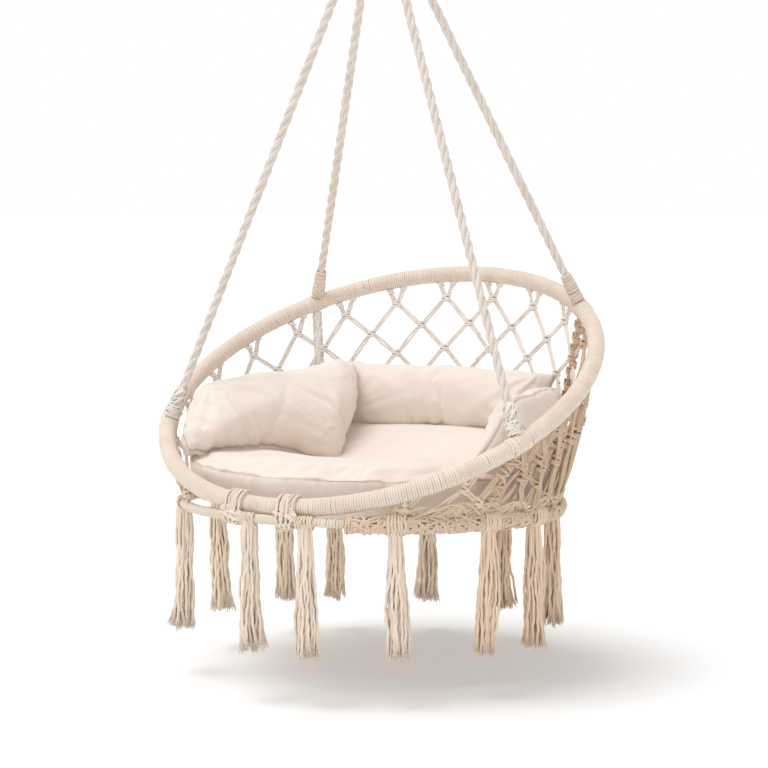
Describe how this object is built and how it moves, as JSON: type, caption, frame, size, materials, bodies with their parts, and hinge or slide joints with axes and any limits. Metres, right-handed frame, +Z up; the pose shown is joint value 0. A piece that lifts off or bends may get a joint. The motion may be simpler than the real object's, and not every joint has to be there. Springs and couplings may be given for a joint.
{
  "type": "hammock chair",
  "caption": "Round hanging seat of wrapped hoop and diamond net on ropes, with tassels, a seat cushion and pillows; a snap hook takes the load.",
  "frame": {"origin": "the bearing point inside the top of the snap hook, where the support carries it", "axes": "+Z up, the sitter faces -Y, +X is on the right in a view from the front"},
  "size_m": [0.7998, 0.7383, 1.538],
  "materials": {
    "cotton_cord": "undyed laid and knotted cord",
    "canvas": "undyed plain weave over filling",
    "steel": "zinc plated"
  },
  "bodies": {
    "hook": {"snap_hook": "steel"},
    "gate": {"hook_gate": "steel"},
    "ring": {"hanging_ring": "steel"},
    "head": {"rope_loop_left": "cotton_cord", "rope_loop_right": "cotton_cord", "neck_whipping": "cotton_cord"},
    "chair": {"hoop_tube": "steel", "seat_ring_rod": "steel", "rope_front_left": "cotton_cord", "rope_front_right": "cotton_cord", "rope_back_left": "cotton_cord", "rope_back_right": "cotton_cord", "rope_collar_front_left": "cotton_cord", "rope_collar_front_right": "cotton_cord", "rope_collar_back_left": "cotton_cord", "rope_collar_back_right": "cotton_cord", "lashing_front_left": "cotton_cord", "lashing_front_right": "cotton_cord", "lashing_back_left": "cotton_cord", "lashing_back_right": "cotton_cord", "stay_front_left": "cotton_cord", "stay_front_right": "cotton_cord", "stay_back_left": "cotton_cord", "stay_back_right": "cotton_cord", "hoop_wrap_front": "cotton_cord", "hoop_wrap_right": "cotton_cord", "hoop_wrap_back": "cotton_cord", "hoop_wrap_left": "cotton_cord", "seat_ring_wrap": "cotton_cord", "seat_net": "cotton_cord", "knotted_band": "cotton_cord", "front_tie_1": "cotton_cord", "front_tie_2": "cotton_cord", "net_front_right": "cotton_cord", "net_right_front": "cotton_cord", "net_right_back": "cotton_cord", "net_back_right": "cotton_cord", "net_back_left": "cotton_cord", "net_left_back": "cotton_cord", "net_left_front": "cotton_cord", "net_front_left": "cotton_cord", "tassel_01": "cotton_cord", "tassel_02": "cotton_cord", "tassel_03": "cotton_cord", "tassel_04": "cotton_cord", "tassel_05": "cotton_cord", "tassel_06": "cotton_cord", "tassel_07": "cotton_cord", "tassel_08": "cotton_cord", "tassel_09": "cotton_cord", "tassel_10": "cotton_cord", "tassel_11": "cotton_cord", "tassel_12": "cotton_cord"},
    "seat_cushion": {"seat_cushion": "canvas"},
    "back_pillow": {"back_pillow": "canvas"},
    "left_pillow": {"left_pillow": "canvas"},
    "right_pillow": {"right_pillow": "canvas"}
  },
  "joints": [
    {"name": "gate_hinge", "type": "hinge", "parent": "hook", "child": "gate", "pos_m": [0, -0.018, -0.013], "axis": [1, 0, 0], "range_deg": [0, 25], "stiffness_Nm_per_rad": 0.05, "springref_deg": -17.19},
    {"name": "ring_sway", "type": "hinge", "parent": "hook", "child": "ring", "pos_m": [0, 0, -0.079], "axis": [0, 1, 0], "range_deg": [-25, 25]},
    {"name": "chair_swing", "type": "hinge", "parent": "ring", "child": "head", "pos_m": [0, 0, -0.14324], "axis": [1, 0, 0], "range_deg": [-25, 25]},
    {"name": "rope_twist", "type": "hinge", "parent": "head", "child": "chair", "pos_m": [0, 0, -0.25024], "axis": [0, 0, 1], "range_deg": [-30, 30]},
    {"name": "seat_cushion_lift", "type": "slide", "parent": "chair", "child": "seat_cushion", "axis": [0, 0.0471, 0.9989], "range_m": [0, 0.05]},
    {"name": "back_pillow_lift", "type": "slide", "parent": "seat_cushion", "child": "back_pillow", "axis": [0, 0.0471, 0.9989], "range_m": [0, 0.06]},
    {"name": "left_pillow_lift", "type": "slide", "parent": "seat_cushion", "child": "left_pillow", "axis": [0, 0.0471, 0.9989], "range_m": [0, 0.045]},
    {"name": "right_pillow_lift", "type": "slide", "parent": "seat_cushion", "child": "right_pillow", "axis": [0, 0.0471, 0.9989], "range_m": [0, 0.045]}
  ]
}
